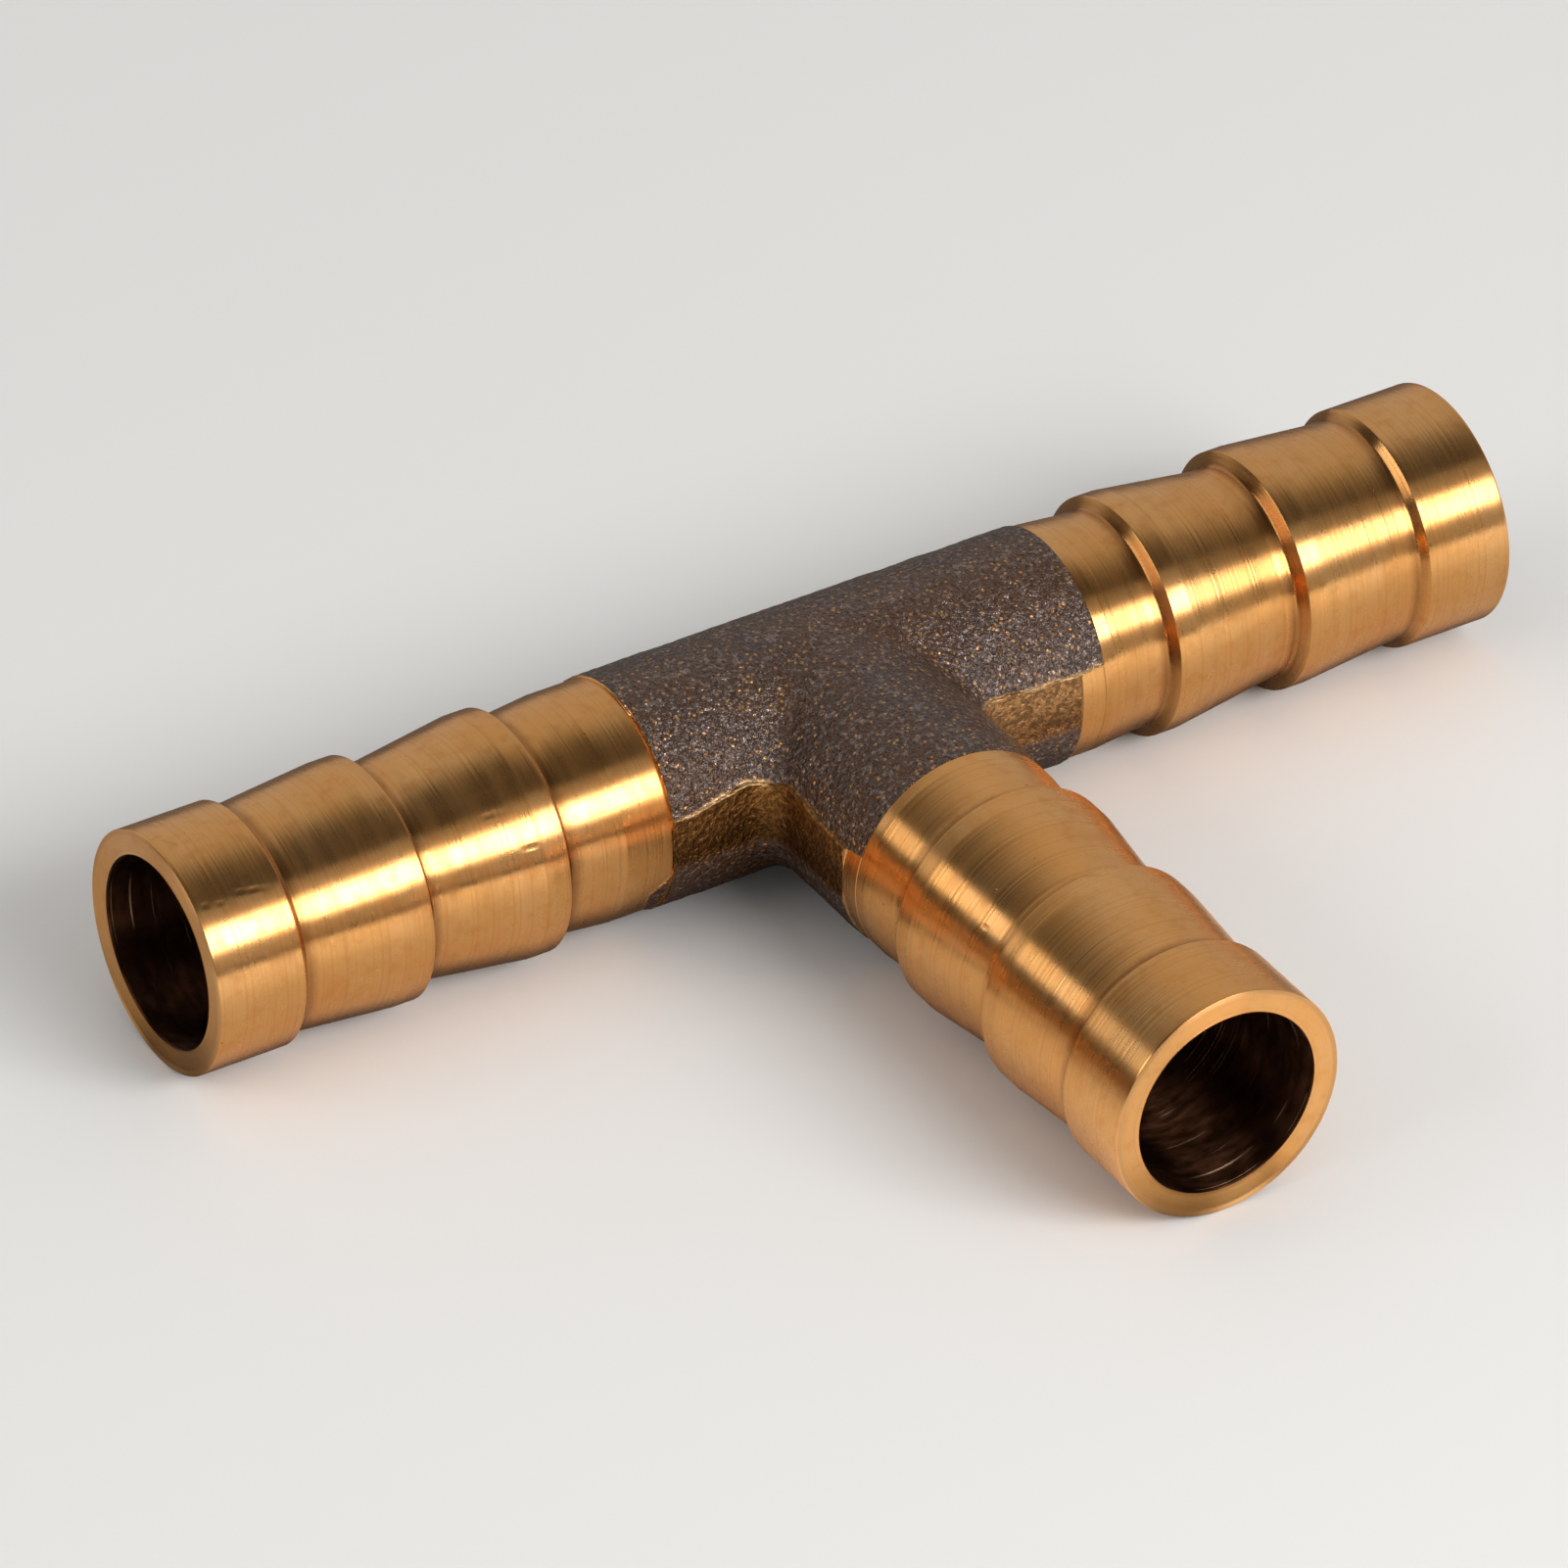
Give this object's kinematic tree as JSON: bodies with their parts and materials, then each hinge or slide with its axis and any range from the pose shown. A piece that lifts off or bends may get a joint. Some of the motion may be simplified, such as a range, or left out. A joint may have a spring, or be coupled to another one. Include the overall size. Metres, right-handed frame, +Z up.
{
  "type": "barbed hose tee",
  "caption": "Brass tee connector for hose: a short dark forged centre body with three turned, ribbed hose tails at right angles and a plain through bore in every arm.",
  "frame": {"origin": "where the axes of the three bores cross, on the centreline of the run", "axes": "+X along the run towards the right tail, the branch points along -Y, +Z up, square to the plane of the three arms"},
  "size_m": [0.06, 0.035, 0.01],
  "materials": {
    "forged_brass": "dark as-forged skin, rough and speckled",
    "turned_brass": "bright fine-turned brass with faint circumferential tool marks"
  },
  "bodies": {
    "tee": {"tee_body": "forged_brass", "hose_tail_left": "turned_brass", "hose_tail_right": "turned_brass", "hose_tail_branch": "turned_brass"}
  },
  "joints": []
}
